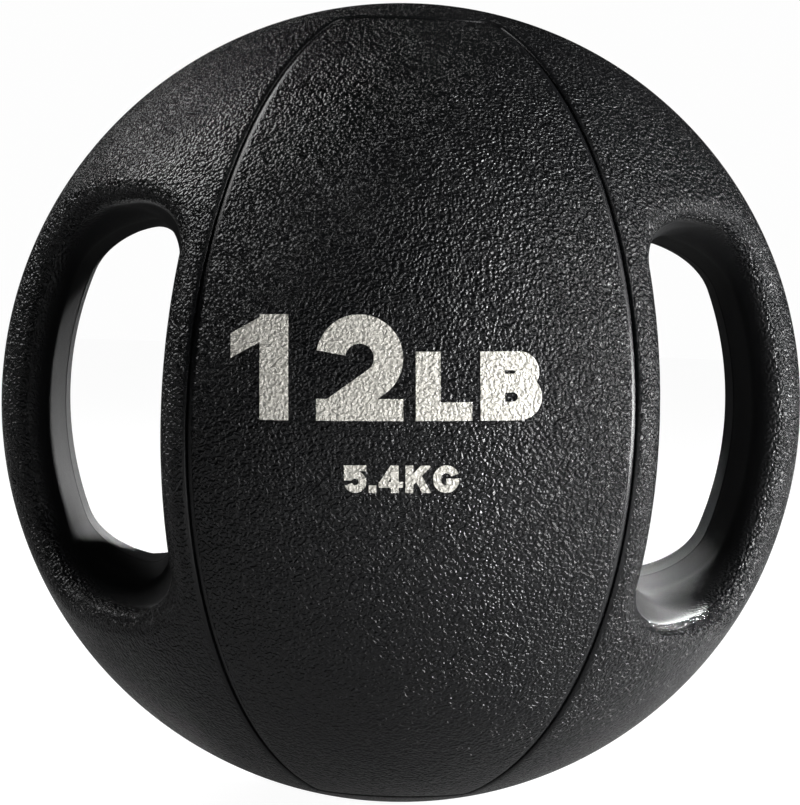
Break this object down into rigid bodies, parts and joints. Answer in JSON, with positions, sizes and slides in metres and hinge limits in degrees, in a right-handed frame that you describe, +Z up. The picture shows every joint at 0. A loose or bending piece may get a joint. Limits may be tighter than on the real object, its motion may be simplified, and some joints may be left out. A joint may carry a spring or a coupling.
{
  "type": "medicine ball",
  "caption": "Weighted rubber training ball with a moulded handle and a hand hole through each side, a pebbled cover and an air valve at the back.",
  "frame": {"origin": "centre of the ball", "axes": "+Z up through the pole, -Y towards the printed front, +Y out of the valve at the back, handles at -X and +X"},
  "size_m": [0.275, 0.2748, 0.275],
  "materials": {
    "cover_rubber": "pebbled, semi-matt",
    "panel_rubber": "pebbled, semi-matt",
    "core_rubber": "matt",
    "grip_rubber": "matt",
    "bladder_rubber": "satin",
    "valve_rubber": "satin",
    "print_ink": "matt screen print"
  },
  "bodies": {
    "ball": {"front_cover": "cover_rubber", "back_cover": "cover_rubber", "front_panel": "panel_rubber", "back_panel": "panel_rubber", "front_core_half": "core_rubber", "back_core_half": "core_rubber", "left_grip_core": "grip_rubber", "right_grip_core": "grip_rubber", "bladder": "bladder_rubber", "valve_boot": "valve_rubber", "weight_mark_pounds": "print_ink", "weight_mark_kilograms": "print_ink"},
    "valve": {"valve_core": "valve_rubber"}
  },
  "joints": [
    {"name": "valve_core_pull", "type": "slide", "parent": "ball", "child": "valve", "axis": [0, 1, 0], "range_m": [0, 0.024]}
  ]
}
